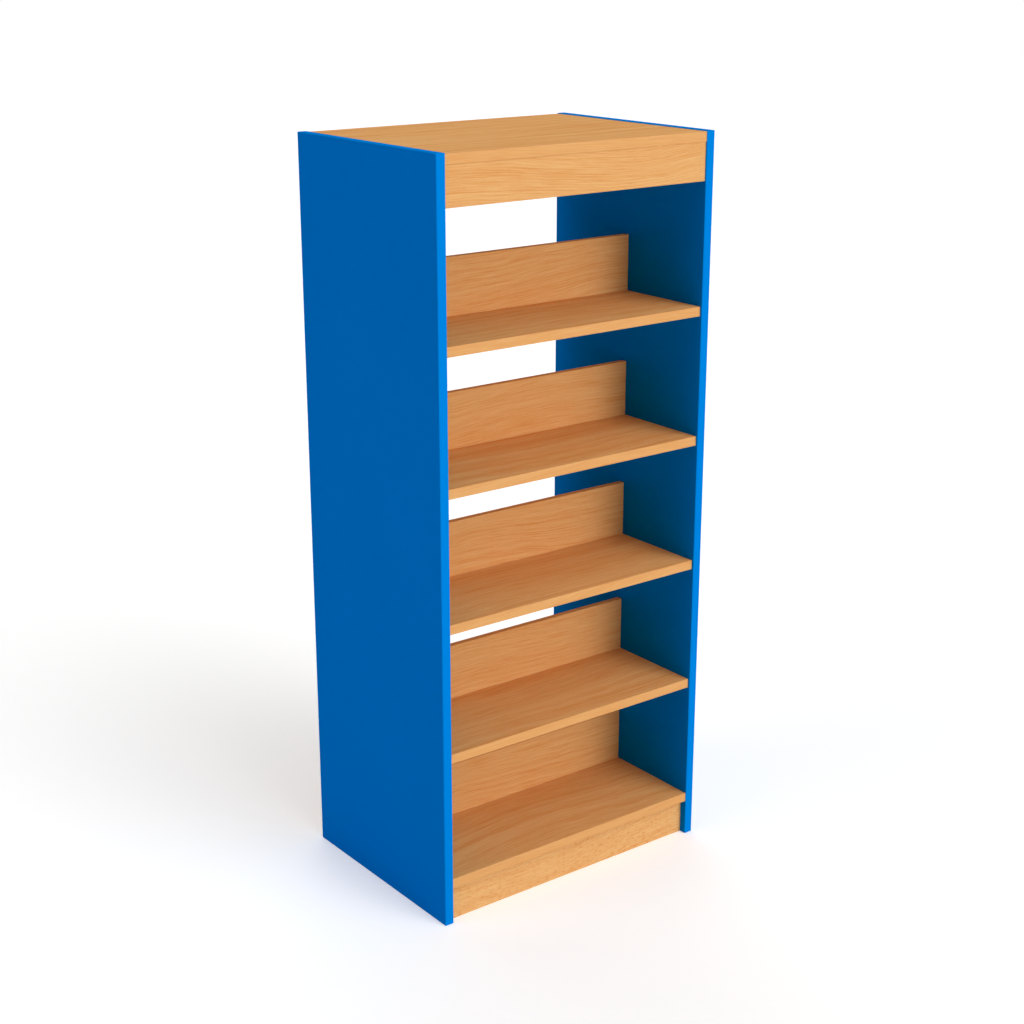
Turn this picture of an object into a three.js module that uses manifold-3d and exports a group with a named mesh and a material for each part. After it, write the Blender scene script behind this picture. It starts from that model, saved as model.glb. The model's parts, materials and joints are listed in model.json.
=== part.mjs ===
// Double sided library shelving.
// Two full height end panels are drawn on to a fixed base and a fixed top by cam connectors.
// Between them four loose shelves rest on pegs and lift off. A book stop runs along the middle
// of the base and of each shelf, so books stand on both sides of it.
// Millimetres. +X runs along the width, -Y is the front, +Z is up, and the origin is on the
// floor at the centre of the unit.

import * as THREE from 'three';
import Module from 'manifold-3d';
import { mergeVertices } from 'three/addons/utils/BufferGeometryUtils.js';

// Overall size
const UNIT_WIDTH = 850;
const UNIT_DEPTH = 600;
const UNIT_HEIGHT = 1950;

// Boards
const BOARD = 25; // end panels, top, base and shelves
const THIN_BOARD = 18; // book stops, fascias and plinths
const LIP_RADIUS = 1.5; // rounding of a lipped edge

// Layout, with setbacks measured from the front and rear edges of the end panels
const PLINTH_HEIGHT = 100;
const HEAD_HEIGHT = 125; // from the top of the end panels to the fascia's lower edge
const TOP_RECESS = 2; // how far the top panel lies below the end panels' upper edges
const FIXED_SETBACK = 2; // top and base
const FASCIA_SETBACK = 4;
const SHELF_SETBACK = 6;
const PLINTH_SETBACK = 20;
const SHELF_COUNT = 4;
const STOP_HEIGHT = 150;

// Clearances
const JOINT_GAP = 0.3; // between boards that butt together
const SHELF_PLAY = 0.5; // at each end of a loose shelf
const PIN_PLAY = 0.2; // all round a peg, dowel, bolt, cam or screw

// Shelf pegs
const PEG_DIAMETER = 6;
const PEG_SEAT = 10; // length held in the end panel
const PEG_REACH = 10; // length that stands out under the shelf
const PEG_CHAMFER = 0.8;
const PEG_INSET = 60; // from the shelf's long edges
const GROOVE_RUN = 2; // how far a shelf's groove runs past the peg

// Glued dowels
const DOWEL_DIAMETER = 8;
const DOWEL_REACH = 12; // length that stands out of the board that holds it
const DOWEL_INSET = 170; // from the long edges of the top and base
const RAIL_DOWEL_INSET = 100; // from the ends of a fascia or plinth

// Cam connectors
const CAM_DIAMETER = 15;
const CAM_HEADROOM = 5.5; // how far the cam reaches past the bolt's axis
const CAM_DISTANCE = 34; // from the end panel to the cam's axis
const CAM_INSET = 110; // from the long edges of the top and base
const BOLT_THREAD_DIAMETER = 5;
const BOLT_THREAD_LENGTH = 11;
const BOLT_COLLAR_DIAMETER = 7.5;
const BOLT_COLLAR_LENGTH = 3;
const BOLT_SHANK_DIAMETER = 5.5;
const BOLT_NECK_DIAMETER = 4;
const BOLT_HEAD_DIAMETER = 7;
const BOLT_HEAD_LENGTH = 3;
const BOLT_CHAMFER = 0.7;

// Screws that hold the book stops from below
const SCREW_DIAMETER = 4.5;
const SCREW_HEAD_DIAMETER = 9;
const SCREW_GRIP = 35; // length in the stop
const SCREW_TIP = 5;
const SCREW_INSET = 150; // from the ends of the stop

// Cross recess for a screwdriver, as a share of the head it is cut in
const RECESS_LENGTH_SHARE = 0.5;
const RECESS_WIDTH_SHARE = 0.12;
const RECESS_DEPTH_SHARE = 0.2;

// Facets
const ROUND_STEPS = 12;
const CAM_STEPS = 20;
const LIP_STEPS = 2;
const OVERCUT = 1; // how far a cut or a joined piece runs past the face it starts from

// Finishes
const BLUE_BOARD = { color: 0x0085e0, roughness: 0.45, metalness: 0 };
const BEECH_BOARD = { color: 0xebae6e, roughness: 0.5, metalness: 0 };
const STEEL = { color: 0xb4b8bd, roughness: 0.35, metalness: 1 };
const ZINC = { color: 0xa3a7aa, roughness: 0.5, metalness: 1 };

// Sizes and places that follow from the ones above
const innerHalf = UNIT_WIDTH / 2 - BOARD;
const fixedHalf = innerHalf - JOINT_GAP;
const shelfHalf = innerHalf - SHELF_PLAY;
const fixedDepth = UNIT_DEPTH - 2 * FIXED_SETBACK;
const shelfDepth = UNIT_DEPTH - 2 * SHELF_SETBACK;

const topUnderside = UNIT_HEIGHT - TOP_RECESS - BOARD;
const fasciaUnderside = UNIT_HEIGHT - HEAD_HEIGHT;
const fasciaHeight = topUnderside - JOINT_GAP - fasciaUnderside;
const plinthHeight = PLINTH_HEIGHT - JOINT_GAP;
const baseTop = PLINTH_HEIGHT + BOARD;
const bayPitch = (fasciaUnderside + BOARD - baseTop) / (SHELF_COUNT + 1);
const shelfUndersides = [];
for (let number = 1; number <= SHELF_COUNT; number += 1) {
  shelfUndersides.push(baseTop + number * bayPitch - BOARD);
}

const fasciaY = UNIT_DEPTH / 2 - FASCIA_SETBACK - THIN_BOARD / 2;
const plinthY = UNIT_DEPTH / 2 - PLINTH_SETBACK - THIN_BOARD / 2;
const pegY = shelfDepth / 2 - PEG_INSET;
const pegHeight = PEG_DIAMETER / 2; // the peg's axis above the shelf's underside
const camX = innerHalf - CAM_DISTANCE;
const camY = fixedDepth / 2 - CAM_INSET;
const camDepth = BOARD / 2 + CAM_HEADROOM;
const dowelY = fixedDepth / 2 - DOWEL_INSET;
const railDowelX = fixedHalf - RAIL_DOWEL_INSET;
const screwX = shelfHalf - SCREW_INSET;
const screwLength = BOARD + JOINT_GAP + SCREW_GRIP;
const screwHeadHeight = (SCREW_HEAD_DIAMETER - SCREW_DIAMETER) / 2;

// Directions, and the names of the four corners
const ALONG_Y = new THREE.Vector3(0, 1, 0);
const INWARD = new THREE.Vector3(1, 0, 0); // from the left end panel towards the middle
const UPWARD = new THREE.Vector3(0, 0, 1);
const SIDES = [
  { side: 'left', sideSign: -1 },
  { side: 'right', sideSign: 1 },
];
const FACES = [
  { face: 'front', faceSign: -1 },
  { face: 'rear', faceSign: 1 },
];
const CORNERS = SIDES.flatMap((side) => FACES.map((face) => ({ ...side, ...face })));

const wasm = await Module();
wasm.setup();

function point(x, y, z) {
  return new THREE.Vector3(x, y, z);
}

function toSolid(geometry) {
  const bare = geometry.clone();
  bare.deleteAttribute('normal');
  bare.deleteAttribute('uv');
  const merged = mergeVertices(bare);
  return new wasm.Manifold(new wasm.Mesh({
    numProp: 3,
    vertProperties: merged.attributes.position.array,
    triVerts: new Uint32Array(merged.index.array),
  }));
}

function toGeometry(solid) {
  const mesh = solid.getMesh();
  const geometry = new THREE.BufferGeometry();
  geometry.setAttribute('position', new THREE.BufferAttribute(mesh.vertProperties, 3));
  geometry.setIndex(new THREE.BufferAttribute(mesh.triVerts, 1));
  geometry.computeVertexNormals();
  return geometry;
}

// A body with other bodies joined to it, and then others cut from it.
function shaped(body, joined, cuts) {
  let solid = toSolid(body);
  for (const geometry of joined) {
    solid = solid.add(toSolid(geometry));
  }
  for (const geometry of cuts) {
    solid = solid.subtract(toSolid(geometry));
  }
  return toGeometry(solid);
}

// One corner of a board's section, rounded where the edge is lipped.
function cornerPoints(x, y, radius, startAngle) {
  if (radius === 0) {
    return [new THREE.Vector2(x, y)];
  }
  const arc = new THREE.EllipseCurve(x, y, radius, radius, startAngle, startAngle + Math.PI / 2);
  return arc.getPoints(LIP_STEPS);
}

// A board's section across Y and Z, with its underside at zero.
function boardSection(depth, height, lowerRadius, upperRadius) {
  const half = depth / 2;
  return new THREE.Shape([
    ...cornerPoints(half - lowerRadius, lowerRadius, lowerRadius, -Math.PI / 2),
    ...cornerPoints(half - upperRadius, height - upperRadius, upperRadius, 0),
    ...cornerPoints(upperRadius - half, height - upperRadius, upperRadius, Math.PI / 2),
    ...cornerPoints(lowerRadius - half, lowerRadius, lowerRadius, Math.PI),
  ]);
}

// Extrudes a section across Y and Z along X, centred on the unit's middle.
function alongWidth(section, length, lipRadius = 0) {
  const geometry = new THREE.ExtrudeGeometry(section, {
    depth: length - 2 * lipRadius,
    bevelEnabled: lipRadius > 0,
    bevelThickness: lipRadius,
    bevelSize: lipRadius,
    bevelOffset: -lipRadius,
    bevelSegments: LIP_STEPS,
  });
  geometry.translate(0, 0, lipRadius - length / 2);
  return geometry.applyMatrix4(new THREE.Matrix4().makeBasis(ALONG_Y, UPWARD, INWARD));
}

function turnTo(geometry, direction) {
  return geometry.applyQuaternion(new THREE.Quaternion().setFromUnitVectors(ALONG_Y, direction));
}

function bar(diameter, length, start, direction, steps = ROUND_STEPS) {
  const geometry = new THREE.CylinderGeometry(diameter / 2, diameter / 2, length, steps);
  geometry.translate(0, length / 2, 0);
  return turnTo(geometry, direction).translate(start.x, start.y, start.z);
}

// The bore for a round piece, wider by the play and open at its mouth.
function bore(diameter, depth, mouth, direction, steps = ROUND_STEPS) {
  const start = mouth.clone().addScaledVector(direction, -OVERCUT);
  return bar(diameter + 2 * PIN_PLAY, depth + OVERCUT, start, direction, steps);
}

// A dowel glued into a board, from the face it stands out of.
function dowel(root, direction) {
  const start = root.clone().addScaledVector(direction, -OVERCUT);
  return bar(DOWEL_DIAMETER, DOWEL_REACH + OVERCUT, start, direction);
}

function turned(profile, direction) {
  const points = profile.map(([radius, height]) => new THREE.Vector2(radius, height));
  return turnTo(new THREE.LatheGeometry(points, ROUND_STEPS), direction);
}

// Two crossed slots in the lower face of a head.
function crossRecess(headDiameter) {
  const length = headDiameter * RECESS_LENGTH_SHARE;
  const width = headDiameter * RECESS_WIDTH_SHARE;
  const height = headDiameter * RECESS_DEPTH_SHARE + OVERCUT;
  const middle = height / 2 - OVERCUT;
  return [
    new THREE.BoxGeometry(length, width, height).translate(0, 0, middle),
    new THREE.BoxGeometry(width, length, height).translate(0, 0, middle),
  ];
}

// End panel with its inner face towards +X, bored for all that it holds.
function endPanel() {
  const outward = INWARD.clone().negate();
  const innerFace = BOARD / 2;
  const bores = [];
  for (const { faceSign } of FACES) {
    for (const underside of shelfUndersides) {
      const mouth = point(innerFace, faceSign * pegY, underside + pegHeight);
      bores.push(bore(PEG_DIAMETER, PEG_SEAT + JOINT_GAP, mouth, outward));
    }
    for (const underside of [PLINTH_HEIGHT, topUnderside]) {
      const middle = underside + BOARD / 2;
      const boltMouth = point(innerFace, faceSign * camY, middle);
      const dowelMouth = point(innerFace, faceSign * dowelY, middle);
      bores.push(bore(BOLT_THREAD_DIAMETER, BOLT_THREAD_LENGTH + JOINT_GAP, boltMouth, outward));
      bores.push(bore(DOWEL_DIAMETER, DOWEL_REACH, dowelMouth, outward));
    }
    const plinthMouth = point(innerFace, faceSign * plinthY, plinthHeight / 2);
    const fasciaMouth = point(innerFace, faceSign * fasciaY, fasciaUnderside + fasciaHeight / 2);
    bores.push(bore(DOWEL_DIAMETER, DOWEL_REACH, plinthMouth, outward));
    bores.push(bore(DOWEL_DIAMETER, DOWEL_REACH, fasciaMouth, outward));
  }
  const section = boardSection(UNIT_DEPTH, UNIT_HEIGHT, 0, 0);
  return shaped(alongWidth(section, BOARD, LIP_RADIUS), [], bores);
}

// Countersunk hole for a stop's screw, through a board from below.
function screwHole(x) {
  const headRadius = SCREW_HEAD_DIAMETER / 2 + PIN_PLAY;
  const shankRadius = SCREW_DIAMETER / 2 + PIN_PLAY;
  const hole = turned([
    [0, -OVERCUT],
    [headRadius, -OVERCUT],
    [headRadius, 0],
    [shankRadius, screwHeadHeight],
    [shankRadius, BOARD + OVERCUT],
    [0, BOARD + OVERCUT],
  ], UPWARD);
  return hole.translate(x, 0, 0);
}

// Top or base: dowels at its ends, bores for the cams, their bolts and the dowels of its rails.
function fixedBoard(railY, carriesStop) {
  const middle = BOARD / 2;
  const dowels = [];
  const cuts = [];
  for (const { sideSign, faceSign } of CORNERS) {
    const outward = INWARD.clone().multiplyScalar(sideSign);
    const boltMouth = point(sideSign * fixedHalf, faceSign * camY, middle);
    const camMouth = point(sideSign * camX, faceSign * camY, 0);
    dowels.push(dowel(point(sideSign * fixedHalf, faceSign * dowelY, middle), outward));
    cuts.push(bore(BOLT_COLLAR_DIAMETER, fixedHalf - camX, boltMouth, outward.negate()));
    cuts.push(bore(CAM_DIAMETER, camDepth, camMouth, UPWARD, CAM_STEPS));
  }
  for (const { faceSign } of FACES) {
    for (const x of [-railDowelX, 0, railDowelX]) {
      cuts.push(bore(DOWEL_DIAMETER, DOWEL_REACH, point(x, faceSign * railY, 0), UPWARD));
    }
  }
  if (carriesStop) {
    cuts.push(screwHole(-screwX), screwHole(screwX));
  }
  const section = boardSection(fixedDepth, BOARD, LIP_RADIUS, LIP_RADIUS);
  return shaped(alongWidth(section, 2 * fixedHalf), dowels, cuts);
}

// Fascia or plinth, with dowels along its upper edge and one at each end.
function rail(height, lowerRadius) {
  const dowels = [-railDowelX, 0, railDowelX].map((x) => dowel(point(x, 0, height), UPWARD));
  for (const { sideSign } of SIDES) {
    const outward = INWARD.clone().multiplyScalar(sideSign);
    dowels.push(dowel(point(sideSign * fixedHalf, 0, height / 2), outward));
  }
  return shaped(alongWidth(boardSection(THIN_BOARD, height, lowerRadius, 0), 2 * fixedHalf), dowels, []);
}

// Loose shelf, with a round topped groove over each peg that keeps it from sliding off.
function looseShelf() {
  const grooveRadius = PEG_DIAMETER / 2 + PIN_PLAY;
  const arch = new THREE.EllipseCurve(0, pegHeight, grooveRadius, grooveRadius, 0, Math.PI);
  const grooveSection = new THREE.Shape([
    new THREE.Vector2(-grooveRadius, -OVERCUT),
    new THREE.Vector2(grooveRadius, -OVERCUT),
    ...arch.getPoints(ROUND_STEPS / 2),
  ]);
  const grooveLength = PEG_REACH + GROOVE_RUN;
  const cuts = CORNERS.map(({ sideSign, faceSign }) => {
    const groove = alongWidth(grooveSection, 2 * grooveLength);
    return groove.translate(sideSign * innerHalf, faceSign * pegY, 0);
  });
  cuts.push(screwHole(-screwX), screwHole(screwX));
  const section = boardSection(shelfDepth, BOARD, LIP_RADIUS, LIP_RADIUS);
  return shaped(alongWidth(section, 2 * shelfHalf), [], cuts);
}

function bookStop() {
  const section = boardSection(THIN_BOARD, STOP_HEIGHT - JOINT_GAP, 0, LIP_RADIUS);
  const bores = [-screwX, screwX].map((x) => (
    bore(SCREW_DIAMETER, SCREW_GRIP + JOINT_GAP, point(x, 0, 0), UPWARD)
  ));
  return shaped(alongWidth(section, 2 * shelfHalf), [], bores);
}

function peg() {
  const radius = PEG_DIAMETER / 2;
  return shaped(turned([
    [0, -PEG_SEAT],
    [radius - PEG_CHAMFER, -PEG_SEAT],
    [radius, PEG_CHAMFER - PEG_SEAT],
    [radius, PEG_REACH - PEG_CHAMFER],
    [radius - PEG_CHAMFER, PEG_REACH],
    [0, PEG_REACH],
  ], INWARD), [], []);
}

// Connector bolt, from its thread in the end panel to its head in the cam.
function connectorBolt() {
  const threadRadius = BOLT_THREAD_DIAMETER / 2;
  const collarRadius = BOLT_COLLAR_DIAMETER / 2;
  const shankRadius = BOLT_SHANK_DIAMETER / 2;
  const neckRadius = BOLT_NECK_DIAMETER / 2;
  const headRadius = BOLT_HEAD_DIAMETER / 2;
  const collarEnd = JOINT_GAP + BOLT_COLLAR_LENGTH;
  const neckStart = CAM_DISTANCE - CAM_DIAMETER / 2 - BOLT_CHAMFER;
  const headStart = CAM_DISTANCE - BOLT_HEAD_LENGTH / 2;
  const headEnd = CAM_DISTANCE + BOLT_HEAD_LENGTH / 2;
  return shaped(turned([
    [0, -BOLT_THREAD_LENGTH],
    [threadRadius - BOLT_CHAMFER, -BOLT_THREAD_LENGTH],
    [threadRadius, BOLT_CHAMFER - BOLT_THREAD_LENGTH],
    [threadRadius, JOINT_GAP],
    [collarRadius, JOINT_GAP],
    [collarRadius, collarEnd],
    [shankRadius, collarEnd],
    [shankRadius, neckStart - BOLT_CHAMFER],
    [neckRadius, neckStart],
    [neckRadius, headStart],
    [headRadius, headStart],
    [headRadius, headEnd - BOLT_CHAMFER],
    [headRadius - BOLT_CHAMFER, headEnd],
    [0, headEnd],
  ], INWARD), [], []);
}

// Cam with a pocket for the bolt's head and a slot for its neck, open towards the end panel.
function connectorCam() {
  const boltHeight = BOARD / 2;
  const camRadius = CAM_DIAMETER / 2;
  const pocketStart = point(-BOLT_HEAD_LENGTH / 2 - PIN_PLAY, 0, boltHeight);
  const pocketDiameter = BOLT_HEAD_DIAMETER + 2 * PIN_PLAY;
  const pocketLength = BOLT_HEAD_LENGTH + 2 * PIN_PLAY;
  return shaped(bar(CAM_DIAMETER, camDepth, point(0, 0, 0), UPWARD, CAM_STEPS), [], [
    bar(pocketDiameter, pocketLength, pocketStart, INWARD),
    bore(BOLT_NECK_DIAMETER, camRadius, point(-camRadius, 0, boltHeight), INWARD),
    ...crossRecess(CAM_DIAMETER),
  ]);
}

// Countersunk screw, driven upwards with its head flush in the board's underside.
function stopScrew() {
  const radius = SCREW_DIAMETER / 2;
  return shaped(turned([
    [0, 0],
    [SCREW_HEAD_DIAMETER / 2, 0],
    [radius, screwHeadHeight],
    [radius, screwLength - SCREW_TIP],
    [0, screwLength],
  ], UPWARD), [], crossRecess(SCREW_HEAD_DIAMETER));
}

function addPiece(group, name, geometry, finish, place, halfTurn = false) {
  const mesh = new THREE.Mesh(geometry, new THREE.MeshStandardMaterial(finish));
  mesh.name = name;
  mesh.position.copy(place);
  mesh.rotation.z = halfTurn ? Math.PI : 0;
  group.add(mesh);
}

function addGroup(parent, height) {
  const group = new THREE.Group();
  group.position.z = height;
  parent.add(group);
  return group;
}

// The cams of the top or base, and the bolts that they hold.
function addConnectors(group, boardName) {
  const cam = connectorCam();
  const bolt = connectorBolt();
  for (const { side, sideSign, face, faceSign } of CORNERS) {
    const corner = `${boardName}_${side}_${face}`;
    const halfTurn = sideSign > 0;
    const camPlace = point(sideSign * camX, faceSign * camY, 0);
    const boltPlace = point(sideSign * innerHalf, faceSign * camY, BOARD / 2);
    addPiece(group, `cam_${corner}`, cam, ZINC, camPlace, halfTurn);
    addPiece(group, `cam_bolt_${corner}`, bolt, STEEL, boltPlace, halfTurn);
  }
}

// A book stop on the board of a group, with the screws that hold it.
function addStop(group, stopName) {
  const screw = stopScrew();
  addPiece(group, stopName, bookStop(), BEECH_BOARD, point(0, 0, BOARD + JOINT_GAP));
  for (const { side, sideSign } of SIDES) {
    addPiece(group, `${stopName}_screw_${side}`, screw, STEEL, point(sideSign * screwX, 0, 0));
  }
}

function addRails(group, railName, geometry, railY) {
  for (const { face, faceSign } of FACES) {
    addPiece(group, `${railName}_${face}`, geometry, BEECH_BOARD, point(0, faceSign * railY, 0));
  }
}

const unit = new THREE.Group();

const panel = endPanel();
for (const { side, sideSign } of SIDES) {
  const place = point(sideSign * (innerHalf + BOARD / 2), 0, 0);
  addPiece(unit, `end_panel_${side}`, panel, BLUE_BOARD, place, sideSign > 0);
}

const base = addGroup(unit, PLINTH_HEIGHT);
addPiece(base, 'base_panel', fixedBoard(plinthY, true), BEECH_BOARD, point(0, 0, 0));
addConnectors(base, 'base');
addStop(base, 'base_stop');
addRails(addGroup(unit, 0), 'plinth', rail(plinthHeight, 0), plinthY);

const head = addGroup(unit, topUnderside);
addPiece(head, 'top_panel', fixedBoard(fasciaY, false), BEECH_BOARD, point(0, 0, 0));
addConnectors(head, 'top');
addRails(addGroup(unit, fasciaUnderside), 'fascia', rail(fasciaHeight, LIP_RADIUS), fasciaY);

const shelfBoard = looseShelf();
const pegPiece = peg();
shelfUndersides.forEach((underside, index) => {
  const number = index + 1;
  const shelf = addGroup(unit, underside);
  addPiece(shelf, `shelf_${number}`, shelfBoard, BEECH_BOARD, point(0, 0, 0));
  addStop(shelf, `shelf_stop_${number}`);
  for (const { side, sideSign, face, faceSign } of CORNERS) {
    const place = point(sideSign * innerHalf, faceSign * pegY, underside + pegHeight);
    addPiece(unit, `shelf_peg_${number}_${side}_${face}`, pegPiece, STEEL, place, sideSign > 0);
  }
});

export default unit;
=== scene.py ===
"""Double sided library shelving: the finished look of the unit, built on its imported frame.

Each board is modelled with its lippings as strips of their own, the fittings are turned and cut,
and every surface gets a procedural finish. The last operator sets up a plain white studio.
Metres. +X runs along the width, -Y is the front and +Z is up, as in the frame.
"""

import json
import math

import bmesh
import bpy
from bpy.props import FloatProperty, FloatVectorProperty, IntProperty, PointerProperty
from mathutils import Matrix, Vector

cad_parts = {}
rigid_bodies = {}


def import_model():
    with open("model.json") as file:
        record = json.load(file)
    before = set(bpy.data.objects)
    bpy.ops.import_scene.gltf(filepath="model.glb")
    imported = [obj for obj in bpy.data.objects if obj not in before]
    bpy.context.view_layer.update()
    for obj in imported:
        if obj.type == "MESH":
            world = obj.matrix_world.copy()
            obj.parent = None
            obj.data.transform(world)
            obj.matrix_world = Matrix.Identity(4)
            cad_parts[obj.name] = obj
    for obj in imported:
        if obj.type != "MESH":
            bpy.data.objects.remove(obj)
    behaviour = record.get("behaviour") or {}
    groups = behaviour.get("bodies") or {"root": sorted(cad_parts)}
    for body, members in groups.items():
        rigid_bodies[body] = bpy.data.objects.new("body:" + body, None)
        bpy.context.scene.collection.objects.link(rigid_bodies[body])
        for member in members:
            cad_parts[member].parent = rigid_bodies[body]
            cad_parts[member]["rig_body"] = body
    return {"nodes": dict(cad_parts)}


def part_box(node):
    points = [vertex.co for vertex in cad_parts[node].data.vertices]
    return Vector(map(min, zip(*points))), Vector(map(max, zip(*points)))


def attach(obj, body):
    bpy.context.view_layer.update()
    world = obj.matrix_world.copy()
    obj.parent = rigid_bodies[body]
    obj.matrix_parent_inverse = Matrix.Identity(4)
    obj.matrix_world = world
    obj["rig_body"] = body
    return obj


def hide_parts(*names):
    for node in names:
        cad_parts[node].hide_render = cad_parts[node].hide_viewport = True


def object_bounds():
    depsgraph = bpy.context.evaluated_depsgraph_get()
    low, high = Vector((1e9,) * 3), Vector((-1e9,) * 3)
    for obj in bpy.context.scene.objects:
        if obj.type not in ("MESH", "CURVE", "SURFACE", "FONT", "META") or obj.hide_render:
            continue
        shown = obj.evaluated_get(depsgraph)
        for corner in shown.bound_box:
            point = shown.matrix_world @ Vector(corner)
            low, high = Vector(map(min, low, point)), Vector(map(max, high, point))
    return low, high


bl_info = {
    "name": "Double Sided Library Shelving",
    "version": (1, 0, 0),
    "blender": (4, 5, 0),
    "location": "3D View > Sidebar > Shelving",
    "description": "Models the boards, lippings and fittings of a shelving unit on its frame",
    "category": "Object",
}

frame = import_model()
cad_low, cad_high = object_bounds()

MM = 0.001
ACROSS = Vector((1, 0, 0))
FRONT = Vector((0, -1, 0))
REAR = Vector((0, 1, 0))
UP = Vector((0, 0, 1))
DOWN = Vector((0, 0, -1))
SIDES = ("left", "right")
FACES = ("front", "rear")
CORNERS = [f"{side}_{face}" for side in SIDES for face in FACES]
SHELVES = sum(name.startswith("shelf_stop_") and "screw" not in name for name in frame["nodes"])
SHELF_NAMES = [f"shelf_{number + 1}" for number in range(SHELVES)]
STOP_NAMES = ["base_stop"] + [f"shelf_stop_{number + 1}" for number in range(SHELVES)]
RAILS = [f"{rail}_{face}" for rail in ("fascia", "plinth") for face in FACES]
RAIL_BOARD = {"fascia": "top_panel", "plinth": "base_panel"}  # the board that a rail is under
BEECH_NODES = ["top_panel", "base_panel"] + SHELF_NAMES + STOP_NAMES + RAILS
TOUCH = 1e-6  # how close a point lies to a plane that it is in
SAME_WAY = 0.999  # least cosine between two directions that count as one
MERGE = 0.01 * MM  # points nearer than this become one
OVERCUT = 1 * MM  # how far a cut or a dowel runs past the face that it starts from
LAID = (0, math.pi / 2, 0)  # turns a piece modelled upright to point along +X
SMOOTH_ANGLE = math.radians(35)
THREAD_STEPS = 24  # steps round each turn of a thread
THREAD_CORE = 0.68  # a thread's core as a share of its outer size
THREAD_SINK = 0.1 * MM  # how deep the foot of a thread lies in its core
THREAD_SHARPNESS = 0.4  # half width of a thread's foot as a share of its height
POINT_RADIUS = 0.1 * MM
CROSS_LENGTH = 0.5  # a screwdriver's cross, as shares of the head it is cut in
CROSS_WIDTH = 0.12
CROSS_DEPTH = 0.2
CROSS_TAPER = 0.7

# Patterns of the beech, with counts per metre along the grain and across it
HILLS = (1.5, 2.0)  # large waves of the growth rings
RIPPLES = (6.0, 9.0)  # small waves of the growth rings
RIPPLE_SHARE = 0.12  # height of the small waves as a share of the large ones
RINGS_ALONG = 0.9  # across the grain the rings follow their pitch, which is a setting
BANDS_ALONG = 0.5  # across the grain the bands follow their width, which is a setting
FIBRES = (10.0, 330.0)
FLECKS = (70.0, 450.0)
FLECK_EDGE = (0.54, 0.7)  # noise at which a fleck starts and at which it is full
FLECK_OFFSET = 0.25  # how much paler the board is under its flecks, as a share of their depth
BEECH_MIXES = {  # how dark each print is, and how strongly its rings, bands, fibres and flecks show
    "beech_facing": (0.5, 2.3, 0.6, 1.7, 0.1),
    "beech_broad": (0.5, 2.5, 1.2, 1.7, 0.1),
    "beech_flecked": (0.33, 1.8, 0.9, 2.0, 0.6),
    "beech_lipping": (0.5, 0.8, 0.6, 1.0, 0.0),
}
PRINT_STEP = Vector((1.71, 1.53, 0.23))  # from one board's stretch of the print to the next
LIPPING_STEP = 0.3  # from a board's stretch to that of its lippings, as a share of a step

# Patterns of the other finishes, with counts per metre along X, Y and Z
CLOUDS = (3.0, 3.0, 3.0)
PEARLS = (420.0, 420.0, 420.0)
STEEL_GRAIN = (300.0, 900.0, 900.0)
ZINC_GRAIN = (500.0, 500.0, 500.0)
BLUE_SPREAD = 0.06  # how far a blue surface strays from its colour
METAL_SPREAD = 0.1  # how far a metal strays from its colour and its roughness

# Studio
FLOOR_SIZE = 60.0
FLOOR_BOUNCE = 0.8  # how much of the light the floor throws back on to the unit
NARROW = 24.0  # a soft light fades as this power of the cosine round its direction
BROAD = 8.0
SOFT_LIGHTS = (  # degrees from the front to the right, degrees above the floor, focus, brightness
    (10, 5, NARROW, 6.15), (10, 20, NARROW, 1.38), (20, 50, NARROW, 2.95), (-100, 35, NARROW, 2.6),
    (0, 62, BROAD, 1.16), (150, 35, BROAD, 1.0), (150, 5, BROAD, 1.5), (180, 5, BROAD, 1.0),
)


class ShelvingBoards(bpy.types.PropertyGroup):
    """Sizes of the boards' edges and joints"""

    lipping: FloatProperty(
        name="Lipping", description="Thickness of the strip glued to a board's edge",
        default=2 * MM, min=1.6 * MM, max=4 * MM, precision=5, unit="LENGTH")
    rounding: FloatProperty(
        name="Rounding", description="Radius of the outer edges of a blue lipping",
        default=1.5 * MM, min=0.2 * MM, max=1.5 * MM, precision=5, unit="LENGTH")
    strip_rounding: FloatProperty(
        name="Strip rounding", description="Radius of the outer edges of a beech lipping",
        default=0.3 * MM, min=0.2 * MM, max=1.5 * MM, precision=5, unit="LENGTH")
    rounding_steps: IntProperty(
        name="Rounding steps", description="Faces across each rounded edge",
        default=5, min=2, max=12)
    seam: FloatProperty(
        name="Seam", description="Chamfer on each side of the glue line of a lipping",
        default=0.12 * MM, min=0.02 * MM, max=0.4 * MM, precision=5, unit="LENGTH")
    joint_gap: FloatProperty(
        name="Joint gap", description="Gap between boards that butt together",
        default=0.3 * MM, min=0, max=1 * MM, precision=5, unit="LENGTH")
    groove_run: FloatProperty(
        name="Groove run", description="How far a shelf's groove runs past its peg",
        default=2 * MM, min=0.5 * MM, max=10 * MM, precision=5, unit="LENGTH")


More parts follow.
